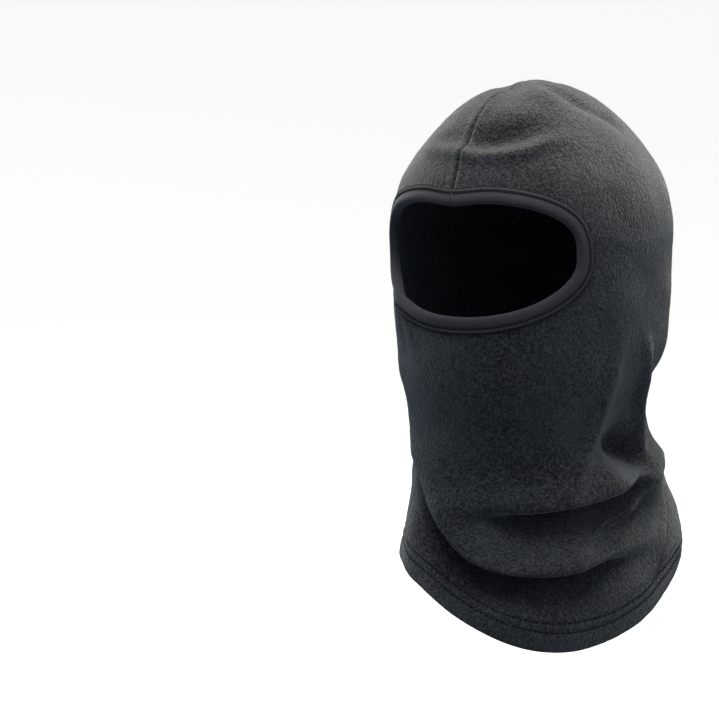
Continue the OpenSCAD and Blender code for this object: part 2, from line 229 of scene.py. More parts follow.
def directions(line, t):
    """Unit directions of the grid: line is the grid line's share of a turn, t the way to the hem."""
    c = map_constants()
    psi = 2 * np.pi * line
    w = c["r0"] * (c["r1"] / c["r0"]) ** t * np.exp(1j * psi)
    w0 = c["r0"] * np.exp(1j * psi)
    edge = 1j * (c["near"] - c["far"] * w0) / (w0 - 1) / c["ring"]
    shift = edge_shift(c, edge) * np.maximum(1 - t / BLEND_END, 0) ** 2
    p, q = 1j * (c["near"] - c["far"] * w), w - 1
    a = p * p + c["k"] * q * q + (1j * c["mid"] + shift) * p * q
    b = p * q
    a2, b2 = np.abs(a) ** 2, np.abs(b) ** 2
    across = a * np.conj(b)
    return np.stack([2 * across.real, a2 - b2, 2 * across.imag], -1) / (a2 + b2)[..., None]


def hem_depth(turn):
    """Depth of the hem's edge below the crown, at a turn round the neck."""
    a = np.radians(turn)
    return (HEM_MEAN + HEM_TILT * np.cos(a - math.radians(HEM_TILT_TURN))
            + HEM_SAG * np.cos(2 * (a - math.radians(HEM_SAG_TURN))))


def labels(d, last):
    """Turn round the head in degrees and height before any fold, for directions d."""
    turn = np.degrees(np.arctan2(d[..., 0], -d[..., 1]))
    up = np.arcsin(np.clip(d[..., 2], -1, 1))
    fall = mercator(np.maximum(-up, 0)) / mercator(-np.arcsin(last[..., 2]))
    z = np.where(up > 0, CROWN * (d[..., 2] - 1), -CROWN - (hem_depth(turn) - CROWN) * fall)
    return turn, z


def smooth_skin(turn, z):
    """The hood's outer surface without its folds, from turn and height."""
    h = np.clip(z / CROWN + 1, 0, 1)
    a = np.radians(turn)
    face = (1 + np.cos(a)) / 2
    tube = through(FRONT_GIRTH, z) * face + through(BACK_GIRTH, z) * (1 - face)
    pointed = CROWN_POINT - CROWN_FULL_FRONT * np.clip(np.cos(a), 0, 1) ** 2
    r = np.where(h > 0, np.sqrt(1 - h * h) * (1 - pointed * h ** 3), tube)
    return np.stack([HALF_WIDTH * r * np.sin(a), -HALF_DEPTH * r * np.cos(a), z + FABRIC], -1)


def row_places(length, steps):
    """Distances along a grid line: fine rows by the opening and the hem, even rows between."""
    near = np.linspace(0, EDGE_BAND, EDGE_ROWS + 1)[:-1]
    far = length - np.linspace(HEM_BAND, 0, HEM_ROWS + 1)[1:]
    return np.concatenate([near, np.linspace(EDGE_BAND, length - HEM_BAND, steps), far])


def distance_down(p):
    """Distance of each point from the first row, down its grid line; also along a line of points."""
    step = np.linalg.norm(np.diff(p, axis=0), axis=-1)
    return np.concatenate([np.zeros_like(step[:1]), np.cumsum(step, 0)])


def grid(columns, steps):
    """Turn and height labels of the whole grid, rows measured off at real distances."""
    even = np.arange(columns) / columns
    line = even - SEAM_CROWDING * np.sin(2 * np.pi * even) / (2 * np.pi)
    t = np.linspace(0, 1, PROBE)
    d = directions(line[None, :], t[:, None])
    turn, z = labels(d, d[-1])
    down = distance_down(smooth_skin(turn, z))
    share = np.empty((len(row_places(1.0, steps)), columns))
    for i in range(columns):
        share[:, i] = np.interp(row_places(down[-1, i], steps), down[:, i], t)
    d = directions(line[None, :], share)
    last = np.broadcast_to(directions(line, 1.0)[None], d.shape)
    return labels(d, last)


def grid_normals(p):
    """Unit directions out of the surface at each grid point."""
    across = np.roll(p, -1, 1) - np.roll(p, 1, 1)
    along = np.gradient(p, axis=0)
    n = np.cross(along, across)
    n *= np.sign(np.sum(n * (p - p.mean((0, 1)))))
    return n / (np.linalg.norm(n, axis=-1, keepdims=True) + 1e-12)


# ---- folds ----
STROKE_SAMPLES, STROKE_REACH = 64, 4     # points along a fold's line; how many widths away it ends
MOST_STRENGTH = 1.2
BLEND_WIDTH, BLEND_STEPS = 0.5, 1.5      # samples blend over so many widths, or so many samples


def stroke_samples(line):
    """Places, tangents and strengths along a line of (turn, height, strength) points on the hood."""
    knots = np.arange(len(line), dtype=float)
    s = np.linspace(0, len(line) - 1, STROKE_SAMPLES)
    turn, z, strength = (through(list(zip(knots, [p[c] for p in line])), s) for c in range(3))
    place = smooth_skin(turn, z)
    tangent = np.gradient(place, axis=0)
    tangent /= np.linalg.norm(tangent, axis=-1, keepdims=True)
    return place, tangent, np.clip(strength, 0, MOST_STRENGTH)


def near_line(base, normal, line, wide):
    """Grid points near a line: their indices, signed distance across it in widths, the direction
    across it, and its strength there. Neighbouring samples are blended so it stays smooth."""
    place, tangent, strong = stroke_samples(line)
    reach = STROKE_REACH * wide
    flat = base.reshape(-1, 3)
    inside = (flat > place.min(0) - reach) & (flat < place.max(0) + reach)
    pick = np.flatnonzero(np.all(inside, axis=1))
    gap2 = np.sum((flat[pick, None, :] - place[None]) ** 2, -1)
    least = gap2.min(1, keepdims=True)
    pick, gap2, least = (v[least[:, 0] < reach * reach] for v in (pick, gap2, least))
    step = np.linalg.norm(np.diff(place, axis=0), axis=-1).max()
    soft = max(BLEND_WIDTH * wide, BLEND_STEPS * step)
    weight = np.exp(-(gap2 - least) / (2 * soft * soft))
    weight /= weight.sum(1, keepdims=True)
    side = np.cross(weight @ tangent, normal.reshape(-1, 3)[pick])
    side /= np.linalg.norm(side, axis=-1, keepdims=True) + 1e-9
    q = np.sum((flat[pick] - weight @ place) * side, -1) / wide
    return pick, q, side, weight @ strong


# ---- smooth seeded noise in space, for the cloth's slight unevenness ----
NOISE_CELLS = 64
# Sums of noise, each as (height, size, seed)
CLOTH_WAVES = [(1.1, 34, 3), (0.5, 15, 4)]
PILE_LUMPS = [(0.11, 3.1, 5), (0.08, 1.9, 6)]
CALM_EDGE = 25.0             # the waves die away this close to the face opening


def space_noise(p, size, seed):
    """Values from -1 to 1 that vary smoothly over about `size` millimetres."""
    rng = np.random.default_rng(seed)
    lattice = rng.uniform(-1, 1, (NOISE_CELLS, NOISE_CELLS, NOISE_CELLS))
    q = p / size
    i = np.floor(q).astype(int)
    f = q - i
    f = f * f * (3 - 2 * f)
    total = np.zeros(p.shape[:-1])
    for corner in np.ndindex(2, 2, 2):
        weight = np.abs(1 - np.array(corner) - f)
        at = (i + corner) % NOISE_CELLS
        total += weight.prod(-1) * lattice[at[..., 0], at[..., 1], at[..., 2]]
    return total


def unevenness(p, waves):
    """The sum of several sizes of noise at each point."""
    return sum(height * space_noise(p, size, seed) for height, size, seed in waves)


def folded_skin(turn, z):
    """The hood's outer surface with its folds and ridges."""
    base = smooth_skin(turn, z)
    normal = grid_normals(base)
    shift = np.zeros_like(base).reshape(-1, 3)
    n_flat = normal.reshape(-1, 3)
    for fold in FOLDS:
        pick, q, side, strong = near_line(base, normal, fold["line"], fold["wide"])
        hump = np.exp(-q * q / 2)
        out = -strong * (fold["swell"] * q + fold["sink"]) * hump
        shift[pick] += n_flat[pick] * out[:, None] - side * (strong * fold["lap"] * q * hump)[:, None]
    for ridge in RIDGES:
        pick, q, _side, strong = near_line(base, normal, ridge["line"], ridge["wide"])
        shift[pick] += n_flat[pick] * (ridge["height"] * strong * np.exp(-q * q / 2))[:, None]
    p = base + shift.reshape(base.shape)
    calm = np.clip(distance_down(p) / CALM_EDGE, 0, 1)
    return p + normal * (unevenness(p, CLOTH_WAVES) * calm)[..., None]


# ---- mesh helpers ----
def mesh_object(name, points, faces, material):
    """A smooth-shaded mesh from points in millimetres."""
    mesh = bpy.data.meshes.new(name)
    mesh.from_pydata((np.asarray(points, float).reshape(-1, 3) * MM).tolist(), [], faces)
    mesh.validate()
    mesh.update()
    mesh.polygons.foreach_set("use_smooth", [True] * len(mesh.polygons))
    mesh.materials.append(material)
    return linked(name, mesh)


def linked(name, data):
    """An object with this data, in the scene."""
    obj = bpy.data.objects.new(name, data)
    bpy.context.scene.collection.objects.link(obj)
    return obj


def ring_faces(rows, columns, closed_rows):
    """Quads of a rows x columns grid closed along its columns, and along its rows if asked."""
    r = np.arange(rows if closed_rows else rows - 1)
    c = np.arange(columns)
    here, beside = c[None, :], (c[None, :] + 1) % columns
    row, above = r[:, None] * columns, ((r[:, None] + 1) % rows) * columns
    return np.stack([row + here, row + beside, above + beside, above + here], -1).reshape(-1, 4)


# ---- materials ----
class Nodes:
    """A material's node tree, with short ways to add and join nodes."""

    def __init__(self, name):
        self.material = bpy.data.materials.new(name)
        self.material.use_nodes = True
        self.tree = self.material.node_tree
        self.shader = self.tree.nodes["Principled BSDF"]

    def add(self, kind, settings=None, **inputs):
        node = self.tree.nodes.new("ShaderNode" + kind)
        for key, value in (settings or {}).items():
            setattr(node, key, value)
        for key, value in inputs.items():
            self.put(node, key.replace("_", " "), value)
        return node

    def put(self, node, key, value):
        socket = node.inputs[int(key)] if key.isdigit() else node.inputs[key]
        if isinstance(value, bpy.types.NodeSocket):
            self.tree.links.new(value, socket)
        else:
            socket.default_value = value

    def math(self, operation, a, b=0.0):
        node = self.tree.nodes.new("ShaderNodeMath")
        node.operation = operation
        self.put(node, "0", a)
        self.put(node, "1", b)
        return node.outputs[0]

    def weigh(self, *parts):
        """The sum of (value, share) pairs."""
        total = self.math("MULTIPLY", *parts[0])
        for part in parts[1:]:
            total = self.math("ADD", total, self.math("MULTIPLY", *part))
        return total

    def mix(self, factor, a, b):
        node = self.tree.nodes.new("ShaderNodeMix")
        node.data_type = "RGBA"
        self.put(node, "0", factor)
        self.put(node, "6", a)
        self.put(node, "7", b)
        return node.outputs[2]

    def stretch(self, value, low, high, to_low=0.0, to_high=1.0):
        """The value eased from to_low to to_high as it goes from low to high."""
        node = self.add("MapRange", {"interpolation_type": "SMOOTHSTEP"})
        for key, v in enumerate((value, low, high, to_low, to_high)):
            self.put(node, str(key), v)
        return node.outputs[0]

    def stored(self, name):
        """A value that the mesh stores at its points."""
        return self.add("Attribute", {"attribute_name": name}).outputs["Fac"]

    def noise(self, vector, scale, detail=2.0, rough=0.5):
        node = self.add("TexNoise", Vector=vector, Scale=scale, Detail=detail, Roughness=rough)
        return node.outputs["Fac"]

    def finish(self, **values):
        """Sets the surface shader's inputs and returns the material."""
        for key, value in values.items():
            self.put(self.shader, key.replace("_", " "), value)
        return self.material


def times(colour, factor):
    """The colour made darker or paler, up to white."""
    return tuple(min(factor * c, 1) for c in colour[:3]) + (1,)


NAP_WANDER = 0.0034          # metres that the nap's pattern is pushed about


def pile_fleece(name, dark, mid, light):
    """Anti-pill fleece: curled nap about 2.5 mm across, painted shade in its short partings, fine hairs
    and lint.
    """
    n = Nodes(name)
    at = n.add("TexCoord").outputs["Object"]
    wander = n.add("TexNoise", Vector=at, Scale=330.0, Detail=1.0)
    push = n.add("VectorMath", {"operation": "MULTIPLY_ADD"})
    for key, value in enumerate((wander.outputs["Color"], (NAP_WANDER,) * 3, at)):
        n.put(push, str(key), value)
    warped = push.outputs[0]
    cells = n.add("TexVoronoi", {"feature": "DISTANCE_TO_EDGE"}, Vector=warped, Scale=470.0)
    parting = n.stretch(cells.outputs["Distance"], 0.0, 0.28)
    broken = n.stretch(n.noise(at, 420.0, 1.0), 0.49, 0.64)
    curls = n.math("MAXIMUM", parting, broken)
    tufts = n.noise(warped, 620.0, 2.0)
    swirl = n.add("TexNoise", Vector=at, Scale=1500.0, Detail=3.0, Roughness=0.7, Distortion=2.4)
    hairs = swirl.outputs["Fac"]
    height = n.weigh((curls, 0.46), (tufts, 0.52), (hairs, 0.34))
    bump = n.add("Bump", Strength=0.8, Distance=0.0009, Height=height)
    colour = n.mix(n.stretch(n.weigh((tufts, 0.65), (hairs, 0.35)), 0.38, 0.61), dark, mid)
    # Painted shade: the partings between the curls are darkened in colour, as shade in these creases.
    colour = n.mix(n.math("SUBTRACT", 1.0, curls), colour, times(dark, 0.3))
    patches = n.stretch(n.noise(at, 22.0, 3.0, 0.6), 0.3, 0.75, 0.0, 0.3)
    colour = n.mix(patches, colour, light)
    lint_cells = n.add("TexVoronoi", Vector=at, Scale=95.0)
    specks = n.stretch(lint_cells.outputs["Distance"], 0.05, 0.035)
    lint = n.math("MULTIPLY", specks, n.stretch(n.noise(at, 40.0), 0.6, 0.64))
    colour = n.mix(n.math("MULTIPLY", lint, 0.35), colour, times(light, 4))
    colour = n.mix(n.math("MULTIPLY", n.stored("wear"), 0.55), colour, light)
    # Painted shade: darker along the hem's stitch rows and the seam line, as shade in their grooves.
    colour = n.mix(n.math("MULTIPLY", n.stored("painted_groove_shade"), 0.5), colour, times(dark, 0.2))
    return n.finish(Base_Color=colour, Roughness=n.stretch(tufts, 0.2, 0.8, 1.0, 0.88),
                    Normal=bump.outputs[0], Specular_IOR_Level=0.15, Sheen_Weight=0.55,
                    Sheen_Roughness=0.45, Sheen_Tint=(0.75, 0.8, 0.86, 1))


def knit_jersey(name, dark, light):
    """Smooth jersey binding: knitted columns 0.7 mm apart across the strip, slightly heathered."""
    n = Nodes(name)
    uv = n.add("TexCoord").outputs["UV"]
    at = n.add("TexCoord").outputs["Object"]
    ribs = n.add("TexWave", {"bands_direction": "X"}, Vector=uv, Scale=430.0, Distortion=0.8,
                 Detail=1.0, Detail_Scale=2.0).outputs["Fac"]
    loops = n.add("TexWave", {"bands_direction": "Y"}, Vector=uv, Scale=520.0, Distortion=1.5,
                  Detail=1.0).outputs["Fac"]
    fuzz = n.noise(at, 2600.0, 2.0)
    height = n.weigh((ribs, 0.6), (loops, 0.25), (fuzz, 0.35))
    bump = n.add("Bump", Strength=0.6, Distance=0.0003, Height=height)
    shade = n.weigh((n.noise(at, 700.0), 0.6), (ribs, 0.4))
    colour = n.mix(n.stretch(shade, 0.36, 0.66), dark, light)
    colour = n.mix(n.math("MULTIPLY", n.stored("wear"), 0.6), colour, times(light, 1.5))
    return n.finish(Base_Color=colour, Roughness=n.stretch(fuzz, 0.3, 0.7, 0.78, 0.9),
                    Normal=bump.outputs[0], Specular_IOR_Level=0.3, Sheen_Weight=0.35,
                    Sheen_Roughness=0.4, Sheen_Tint=(0.8, 0.82, 0.88, 1))


def spun_thread(name, dark, light):
    """Matt sewing thread, twisted."""
    n = Nodes(name)
    at = n.add("TexCoord").outputs["Object"]
    twist = n.add("TexWave", {"bands_direction": "DIAGONAL"}, Vector=at, Scale=900.0,
                  Distortion=3.0, Detail=1.0).outputs["Fac"]
    bump = n.add("Bump", Strength=0.5, Distance=0.0001, Height=twist)
    colour = n.mix(n.math("MULTIPLY", twist, n.noise(at, 800.0)), dark, light)
    rough = n.stretch(n.noise(at, 1500.0), 0.3, 0.7, 0.75, 0.92)
    return n.finish(Base_Color=colour, Roughness=rough, Normal=bump.outputs[0],
                    Specular_IOR_Level=0.12)


fleece = pile_fleece("charcoal_fleece", dark=(0.028, 0.030, 0.034, 1), mid=(0.076, 0.080, 0.086, 1),
                     light=(0.092, 0.096, 0.101, 1))
jersey = knit_jersey("jersey_knit", (0.034, 0.034, 0.040, 1), (0.084, 0.083, 0.094, 1))
thread = spun_thread("sewing_thread", (0.003, 0.003, 0.004, 1), (0.011, 0.011, 0.013, 1))


def give(obj, name, values):
    """Stores a value from 0 to 1 at each point, for the material to read."""
    layer = obj.data.attributes.new(name, "FLOAT", "POINT")
    layer.data.foreach_set("value", np.clip(values, 0, 1).ravel())


# ---- the fleece ----
# What the sewing does to the surface (mm). Rows up from the hem's edge: where, height, half width
HEM_RELIEF = [(HEM_ROW_LOW, -0.8, 1.1), (HEM_ROW_HIGH, -0.8, 1.1), (HEM_FOLD + 1, -0.35, 1.6),
              (6, 0.35, 5)]
GROOVE_DEPTH, GROOVE_WIDE, GROOVE_SHARP = 1.9, 0.75, 1.6
SHOULDER_LEFT, SHOULDER_RIGHT, SHOULDER_AT = 0.9, 0.45, 2.6
SEAM_FADE = 6.0                          # the groove fades out this close to the raw edge
EDGE_PRESS, EDGE_PRESS_WIDE = 0.4, 8.0   # the binding presses the fleece down beside it
HEM_ROUND, HEM_STEP = 2.6, 1.5           # rounding of the hem's edge; how soon its fold thickens it
ALLOWANCE_FADE, ALLOWANCE_HEM_FADE, ALLOWANCE_SHARP = 4.0, 3.0, 5
# Painted shade: the dark lines along the stitch rows and the seam stand in for shade in their grooves.
STITCH_SHADE, SEAM_SHADE = 0.75, 0.7     # half widths of the dark lines along the stitches
EDGE_WEAR, RAISED_WEAR, WEAR_WIDE = 0.5, 0.35, 4
INSIDE_WEAR, INSIDE_SHADE = 0.4, 0.3     # the inside's share of both
SEAM_SIDE = 6                            # the share of the grid lines beside the seam: one in this
FAR_OFF = 99.0                           # given as the distance from the seam everywhere else


def bump_row(distance, at, height, wide):
    """A rounded bump (or dip) of this height where the distance is near a given one."""
    return height * np.exp(-((distance - at) / wide) ** 2)


def seam_offset(turn, z):
    """Distance round from the seam on the unfolded hood, + to the wearer's left; far off elsewhere."""
    x = smooth_skin(turn, z)[..., 0].copy()
    beside = x.shape[1] // SEAM_SIDE
    x[:, beside:-beside] = FAR_OFF
    return x


def seam_relief(x):
    """The seam pulls the fleece into a groove between two soft shoulders, the left one prouder."""
    groove = -GROOVE_DEPTH * np.exp(-np.abs(x / GROOVE_WIDE) ** GROOVE_SHARP)
    return groove + bump_row(np.abs(x), SHOULDER_AT, np.where(x > 0, SHOULDER_LEFT, SHOULDER_RIGHT),
                             SHOULDER_AT)


def sewn_relief():
    """The height of the sewn surface over the folded one at each grid point."""
    relief = seam_relief(off_seam) * np.clip(from_edge / SEAM_FADE, 0, 1)
    relief += sum(bump_row(from_hem, *row) for row in HEM_RELIEF)
    return relief - EDGE_PRESS * np.clip(1 - from_edge / EDGE_PRESS_WIDE, 0, 1)


def seam_allowance():
    """How much thicker the inside is over the seam allowance, between the opening and the hem."""
    half = ALLOWANCE / 2
    thick = ALLOWANCE_THICK * np.exp(-np.abs((off_seam + half) / half) ** ALLOWANCE_SHARP)
    thick *= np.clip(from_edge / ALLOWANCE_FADE, 0, 1)
    return thick * np.clip((from_hem - HEM_FOLD) / ALLOWANCE_HEM_FADE, 0, 1)


def skins(outer):
    """The fleece's outside and inside: one layer, two where the hem is folded up, a rounded edge."""
    thick = FABRIC + FABRIC * np.clip((HEM_FOLD - from_hem) / HEM_STEP, 0, 1)
    normals = grid_normals(outer)
    outer = outer + normals * unevenness(outer, PILE_LUMPS)[..., None]
    round_hem = np.clip(from_hem / HEM_ROUND, 0, 1)
    tuck = thick * (1 - np.sqrt(np.clip(1 - (1 - round_hem) ** 2, 0, 1))) / 2
    inward = thick - tuck + seam_allowance()
    return outer, outer - normals * tuck[..., None], outer - normals * inward[..., None]


def seat(piece, node):
    """Fixes a piece to the one body, in place of the CAD node that it stands for."""
    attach(piece, "root")
    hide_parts(node)


turn, z = grid(COLUMNS, ROWS)
folded = folded_skin(turn, z)
from_edge, from_hem = distance_down(folded), distance_down(folded[::-1])[::-1]
off_seam = seam_offset(turn, z)
relief = sewn_relief()
outer, skin_out, skin_in = skins(folded + grid_normals(folded) * relief[..., None])
rows = outer.shape[0]
fleece_hood = mesh_object("fleece_hood", np.concatenate([skin_out, skin_in[::-1]]),
                          ring_faces(2 * rows, COLUMNS, True)[:, ::-1].tolist(), fleece)
wear = EDGE_WEAR * np.exp(-(from_hem / WEAR_WIDE) ** 2) + RAISED_WEAR * np.clip(relief, 0, 1)
give(fleece_hood, "wear", np.concatenate([wear, wear[::-1] * INSIDE_WEAR]))
# Painted shade along the hem's stitch rows and the seam line, for shade in their grooves; less of it
# inside.
painted_groove_shade = sum(bump_row(from_hem, row, 1, STITCH_SHADE) for row in (HEM_ROW_LOW, HEM_ROW_HIGH))
painted_groove_shade = np.maximum(painted_groove_shade, bump_row(off_seam, 0, 1, SEAM_SHADE))
give(fleece_hood, "painted_groove_shade", np.concatenate([painted_groove_shade, painted_groove_shade[::-1] * INSIDE_SHADE]))
seat(fleece_hood, "hood_panel")


# ---- the binding ----
STRIP_ROWS = 24              # rows of the hood beside the opening that the binding is placed by
SECTION_POINTS, UV_SECTION = 84, 5       # points round it; the one the map's second way is taken from
END_REACH = 0.5              # share of the last step to the seam that each end covers
START_PINCH, STOP_PINCH = 0.9, 0.82
STROKED_HEIGHT, STROKED_WIDE, STROKED = 2.1, 0.35, 0.5   # the binding is paler where it stands out


def closed_curve(points, count):
    """A smooth closed curve through points, as count points."""
    p = np.array(points, float)
    n = len(p)
    s = np.arange(count) / count * n
    i = s.astype(int)
    f = (s - i)[:, None]
    a, b, c, d = (p[(i + k) % n] for k in (-1, 0, 1, 2))
    bend, twist = 2 * a - 5 * b + 4 * c - d, 3 * b - a - 3 * c + d
    return 0.5 * (2 * b + (c - a) * f + bend * f ** 2 + twist * f ** 3)


# Section of the folded strip: distance in from the raw edge, height over the fleece's outside
BINDING_SECTION = [(7.3, 0.0), (7.7, 0.4), (7.3, 0.85), (6.5, 1.3), (5.6, 1.0), (4.9, 0.62),
                   (4.2, 0.98), (3.2, 1.4), (1.2, 1.65), (-0.9, 1.35), (-2.1, 0.3), (-2.45, -1.4),
                   (-2.1, -3.2), (-0.9, -4.5), (1.2, -4.9), (3.2, -4.5), (4.3, -3.7), (4.85, -3.1),
                   (5.4, -3.7), (6.2, -4.0), (7.2, -3.8), (7.75, -3.2), (7.3, -2.8), (5.0, -2.75),
                   (1.0, -2.7), (-0.3, -1.4), (1.0, -0.1), (5.0, -0.05)]


class EdgeStrip:
    """Places beside the face opening: a across the fabric from the raw edge, h out from its face."""

    def __init__(self, p):
        self.p = p[:STRIP_ROWS]
        self.n = grid_normals(p)[:STRIP_ROWS]
        self.down = distance_down(p)[:STRIP_ROWS]

    def at(self, a, h):
        inside, normal = (row_line(v, self.down, max(a, 0)) for v in (self.p, self.n))
        out = unit(self.p[0] - self.p[1])
        return inside + out * max(-a, 0) + normal * h


def row_line(p, distance, at):
    """Points where each grid line is a given distance along."""
    order = 1 if distance[0, 0] < distance[-1, 0] else -1
    distance, p = distance[::order], p[::order]
    columns = [[np.interp(at, distance[:, i], p[:, i, c]) for i in range(p.shape[1])] for c in range(3)]
    return np.stack(columns, -1)


def unit(v):
    """Vectors made one long."""
    return v / (np.linalg.norm(v, axis=-1, keepdims=True) + 1e-12)


def open_ends(strip):
    """Ends the strip just short of the seam on both sides, slightly pinched where it is sewn in."""
    seam = strip[:, :1]
    ends = []
    for last, pinch in ((strip[:, 1:2], START_PINCH), (strip[:, -1:], STOP_PINCH)):
        end = last + (seam - last) * END_REACH
        middle = end.mean(0, keepdims=True)
        ends.append(middle + (end - middle) * pinch)
    return np.concatenate([ends[0], strip[:, 1:], ends[1]], 1)


def sweep_faces(around, along):
    """Quads of a tube with ends capped: points are stored ring point by ring point."""
    quads = []
    for i in range(around):
        a, b = i * along, (i + 1) % around * along
        quads += [(a + k, a + k + 1, b + k + 1, b + k) for k in range(along - 1)]
    start = tuple(i * along for i in range(around))
    stop = tuple(i * along + along - 1 for i in reversed(range(around)))
    return quads + [start, stop]


def strip_uv(obj):
    """A map in metres: along the binding, and across its folded section."""
    along = distance_down(strip.mean(0)) * MM
    ring = distance_down(strip[:, UV_SECTION]) * MM
    count = strip.shape[1]
    layer = obj.data.uv_layers.new(name="weave")
    corner = np.empty(len(obj.data.loops), int)
    obj.data.loops.foreach_get("vertex_index", corner)
    layer.data.foreach_set("uv", np.stack([along[corner % count], ring[corner // count]], -1).ravel())


edge = EdgeStrip(folded)
section = closed_curve(BINDING_SECTION, SECTION_POINTS)
strip = open_ends(np.stack([edge.at(a, h) for a, h in section], 0))
binding = mesh_object("jersey_binding", strip, sweep_faces(*strip.shape[:2]), jersey)
strip_uv(binding)
stroked = bump_row(section[:, 1:], STROKED_HEIGHT, STROKED, STROKED_WIDE)
give(binding, "wear", np.repeat(stroked, strip.shape[1], 1))
seat(binding, "face_binding")


# ---- stitching ----
# Rows of needle stitches (mm): length from hole to hole, thread that shows, its radius, and how deep
# the ends of each stitch dip into the fabric
HEM_STITCH = dict(pitch=3.6, length=2.9, radius=0.27, sink=0.7)
GROOVE_STITCH = dict(pitch=2.1, length=1.3, radius=0.37, sink=0.3, ends=1.0)
EDGE_STITCH = dict(pitch=2.1, length=1.5, radius=0.26, sink=0.4, ends=1.0)
SEAM_STITCH = dict(pitch=3.0, length=2.3, radius=0.25, sink=0.6, ends=2.0)
# Threads that cross between two rows on the inside: pitch and radius
HEM_LOOPER, BINDING_LOOPER, SEAM_OVERLOCK = (1.8, 0.28), (1.4, 0.22), (1.7, 0.28)
# Places on the binding's section, as in BINDING_SECTION
GROOVE_PLACE, EDGE_PLACE = (4.9, 0.98), (7.75, 0.75)
GROOVE_PLACE_INSIDE, EDGE_PLACE_INSIDE = (4.85, -3.15), (7.6, -3.7)
BINDING_EDGE_NORMAL = 4.8                # how far in the fleece's face is taken for the stitches
OVERLOCK_NEAR, OVERLOCK_FAR = -0.6, -ALLOWANCE - 0.4
LOOPER_TRIM = 6                          # points left out at each end of the binding's looper
THREAD_SIDES, STITCH_RINGS, TURN_STEPS = 6, 7, 8
THREAD_LIFT = 0.8                        # share of its radius that a thread's middle stands up
TURN_SHARP = 0.35                        # how much fuller than a sine each turn of a looper is
SEAM_FROM, SEAM_BESIDE = 10, 60          # the stitches' first row; grid lines seen on each side


def run_of(points, closed):
    """A line of points, closed up if asked, and the distance along it."""
    loop = np.concatenate([points, points[:1]]) if closed else points
    return loop, distance_down(loop)


def sample(loop, run, where):
    """Points at given distances along a line."""
    return np.stack([np.interp(where, run, loop[:, c]) for c in range(3)], -1)


def tube_faces(first, rings, around):
    """Quads of a tube stored ring by ring, with its two ends capped."""
    faces = []
    for j in range(rings - 1):
        for m in range(around):
            b, c = first + j * around + m, first + j * around + (m + 1) % around
            faces.append((b, c, c + around, b + around))
    faces.append(tuple(first + m for m in reversed(range(around))))
    faces.append(tuple(first + (rings - 1) * around + m for m in range(around)))
    return faces


def tube_points(path, side, up, radius):
    """Rings of points round a path; the radius may differ from point to point."""
    angle = 2 * np.pi * np.arange(THREAD_SIDES) / THREAD_SIDES
    turn, rise = np.cos(angle)[None, :, None], np.sin(angle)[None, :, None]
    ring = side[:, None] * turn + up[:, None] * rise
    return (path[:, None] + ring * np.reshape(radius, (-1, 1, 1))).reshape(-1, 3)


def stitches(name, node, points, normal, pitch, length, radius, sink, closed=True, ends=0.0):
    """A row of needle stitches: short rounded lengths of thread that dip into the fabric."""
    loop, run = run_of(points, closed)
    up = run_of(normal, closed)[0]
    count = int(round((run[-1] - 2 * ends) / pitch))
    pitch = (run[-1] - 2 * ends) / count
    u = np.linspace(-1, 1, STITCH_RINGS)
    rounded = radius * np.sqrt(np.clip(1.02 - u ** 6, 0, 1))
    verts, faces = [], []
    for k in range(count):
        where = ends + (k + 0.5) * pitch + u * length / 2
        at, n = sample(loop, run, where), unit(sample(up, run, where))
        side = np.cross(unit(np.gradient(at, axis=0)), n)
        at = at + n * (radius * THREAD_LIFT - sink * u[:, None] ** 4)
        verts.append(tube_points(at, side, n, rounded))
        faces += tube_faces(k * STITCH_RINGS * THREAD_SIDES, STITCH_RINGS, THREAD_SIDES)
    piece = mesh_object(name, np.concatenate(verts), faces, thread)
    seat(piece, node)


def thread_run(name, node, path, normal, radius):
    """One continuous thread along a path that lies on the cloth."""
    along = unit(np.gradient(path, axis=0))
    side = unit(np.cross(along, normal))
    points = tube_points(path, side, np.cross(side, along), radius)
    piece = mesh_object(name, points, tube_faces(0, len(path), THREAD_SIDES), thread)
    seat(piece, node)


def zigzag(lines, normals, pitch, radius, closed):
    """A looper thread's path: it crosses between two rows, rounded at each turn."""
    loops = [run_of(p, closed) for p in lines]
    ups = [run_of(n, closed)[0] for n in normals]
    turns = int(loops[0][1][-1] / pitch)
    s = np.arange(turns * TURN_STEPS + 1) / TURN_STEPS
    swing = np.cos(np.pi * s)
    share = (0.5 - 0.5 * swing * (1 + TURN_SHARP - TURN_SHARP * swing ** 2))[:, None]
    a, b = (sample(loop, run, s / turns * run[-1]) for loop, run in loops)
    na, nb = (sample(up, run, s / turns * run[-1]) for up, (_loop, run) in zip(ups, loops))
    n = unit(na * (1 - share) + nb * share)
    return a * (1 - share) + b * share + n * (radius * THREAD_LIFT), n


def seam_line(p, offset):
    """Points down the seam, at an offset round from it."""
    beside = np.r_[-SEAM_BESIDE:SEAM_BESIDE + 1]
    line = []
    for i in range(SEAM_FROM, rows - 2):
        order = beside[np.argsort(off_seam[i, beside])]
        line.append([np.interp(offset, off_seam[i, order], p[i, order, c]) for c in range(3)])
    return np.array(line)


hem_normals = grid_normals(outer)
inside = -hem_normals
for name, at, node in (("hem_stitches_lower", HEM_ROW_LOW, "hem_needle_thread_lower"),
                       ("hem_stitches_upper", HEM_ROW_HIGH, "hem_needle_thread_upper")):
    stitches(name, node, row_line(outer, from_hem, at), row_line(hem_normals, from_hem, at),
             **HEM_STITCH)
edge_normal = row_line(edge.n, edge.down, BINDING_EDGE_NORMAL)
stitches("binding_stitches_groove", "binding_needle_thread_inner", edge.at(*GROOVE_PLACE), edge_normal,
         **GROOVE_STITCH)
stitches("binding_stitches_edge", "binding_needle_thread_outer", edge.at(*EDGE_PLACE), edge_normal,
         **EDGE_STITCH)

